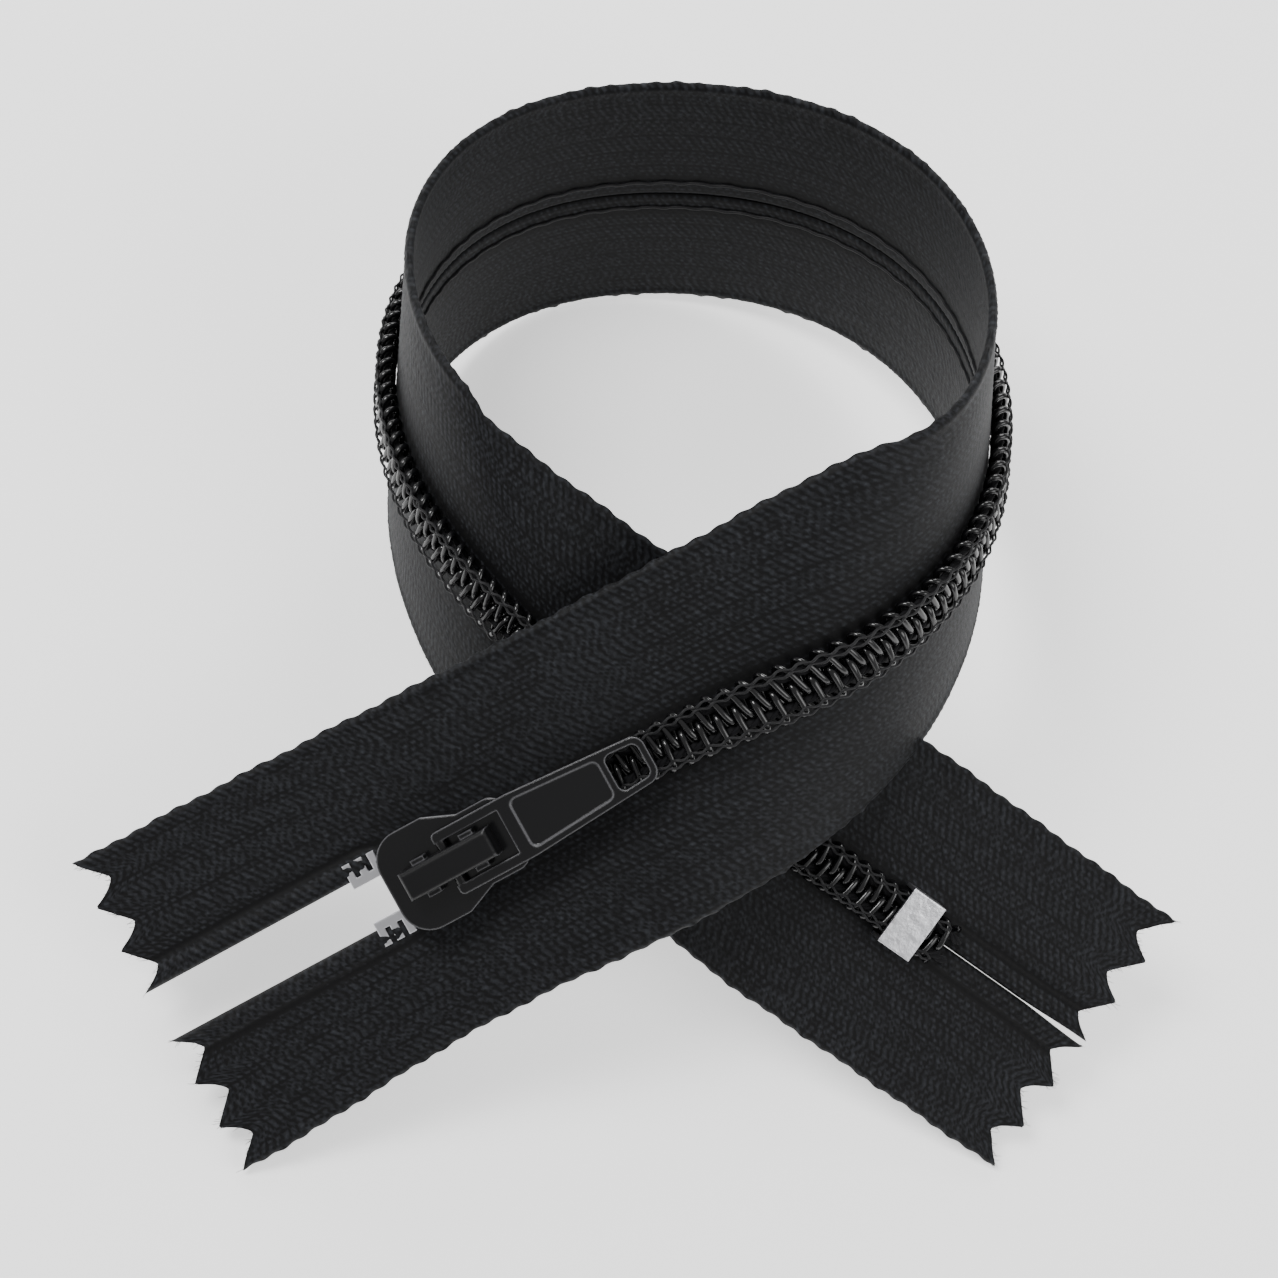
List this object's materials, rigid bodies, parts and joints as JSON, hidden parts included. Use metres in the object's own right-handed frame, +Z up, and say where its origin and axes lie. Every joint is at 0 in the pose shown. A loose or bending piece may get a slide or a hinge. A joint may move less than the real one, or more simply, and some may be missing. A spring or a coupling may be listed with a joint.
{
  "type": "coil zipper",
  "caption": "Closed-end nylon coil zipper, fastened and curled into a loop with crossed ends; the slider runs on the chain and its pull tab swings.",
  "frame": {"origin": "on the surface the zipper lies on, under the middle of its bounding box", "axes": "+Z up; the loop's closed back is towards +Y, the slider end is at -X -Y and the bottom-stop end is at +X -Y"},
  "size_m": [0.0883, 0.088, 0.0377],
  "materials": {
    "woven_tape": "herringbone-woven black polyester tape",
    "coil_monofilament": "smooth black nylon monofilament",
    "cord": "twisted black polyester filler cord",
    "thread": "black sewing thread, faint sheen",
    "bright_metal": "bright pale metal, lightly tumbled",
    "black_enamel": "semi-gloss black lacquer over die-cast zinc",
    "grey_metal": "dark grey satin plating",
    "spring_steel": "bare spring steel strip"
  },
  "bodies": {
    "chain": {"tape_left": "woven_tape", "tape_right": "woven_tape", "coil_left": "coil_monofilament", "coil_right": "coil_monofilament", "core_cord_left": "cord", "core_cord_right": "cord", "sewing_thread_left": "thread", "sewing_thread_right": "thread", "top_stop_left": "bright_metal", "top_stop_right": "bright_metal", "bottom_stop": "bright_metal"},
    "slider": {"slider_body": "black_enamel", "crown": "grey_metal", "lock_spring": "spring_steel"},
    "pull_tab": {"pull_tab": "black_enamel"}
  },
  "joints": [
    {"name": "slider_slide", "type": "slide", "parent": "chain", "child": "slider", "axis": [0.794, 0.4158, 0.4434], "range_m": [0, 0.006], "deforming": ["coil_left", "coil_right", "core_cord_left", "core_cord_right", "sewing_thread_left", "sewing_thread_right"]},
    {"name": "pull_tab_hinge", "type": "hinge", "parent": "slider", "child": "pull_tab", "pos_m": [-0.01584, -0.02375, 0.01911], "axis": [0.556, -0.7917, -0.2533], "range_deg": [0, 170]}
  ]
}
